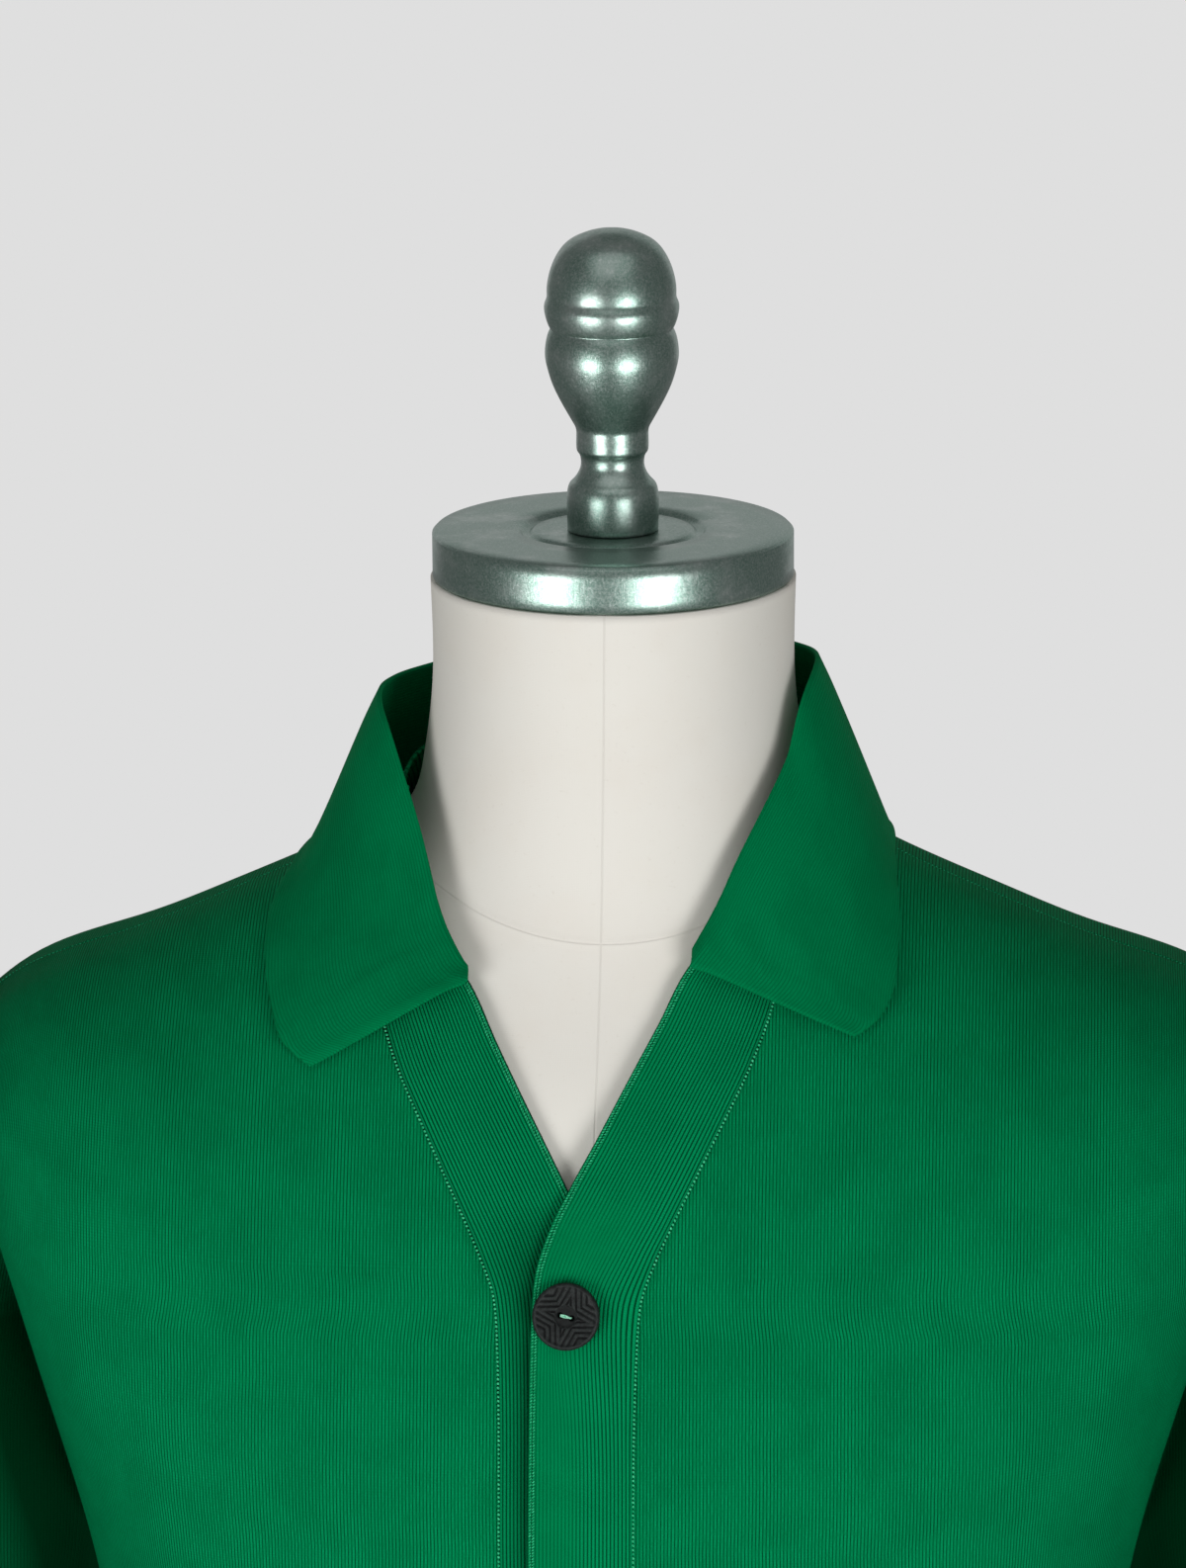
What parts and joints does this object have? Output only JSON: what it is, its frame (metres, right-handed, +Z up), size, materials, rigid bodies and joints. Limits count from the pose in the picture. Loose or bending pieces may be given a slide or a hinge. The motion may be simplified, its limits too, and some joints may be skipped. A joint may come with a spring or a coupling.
{
  "type": "cardigan on dress form",
  "caption": "Fine-gauge knit cardigan with a soft polo collar, a V opening and ribbed button bands, buttoned on a table-top dress form with a turned metal finial.",
  "frame": {"origin": "middle of the base's underside, on the surface that the form stands on", "axes": "+Z up, the front with its buttons faces -Y, +X is the wearer's left"},
  "size_m": [0.5374, 0.33, 1.089],
  "materials": {
    "body_knit": "fine plain knit, matt with a soft sheen",
    "trim_knit": "fine ribbed and plain knit trim",
    "carved_button": "dark carved disc, satin",
    "form_linen": "stretched off-white linen",
    "turned_metal": "satin turned metal, grey with a green cast"
  },
  "bodies": {
    "root": {"front_left": "body_knit", "front_right": "body_knit", "back": "body_knit", "sleeve_left": "body_knit", "sleeve_right": "body_knit", "band_left": "trim_knit", "band_right": "trim_knit", "collar": "trim_knit", "button_1": "carved_button", "button_2": "carved_button", "button_3": "carved_button", "button_4": "carved_button", "button_5": "carved_button", "form_torso": "form_linen", "neck_cap": "turned_metal", "finial": "turned_metal", "pole": "turned_metal", "base": "turned_metal"}
  },
  "joints": []
}
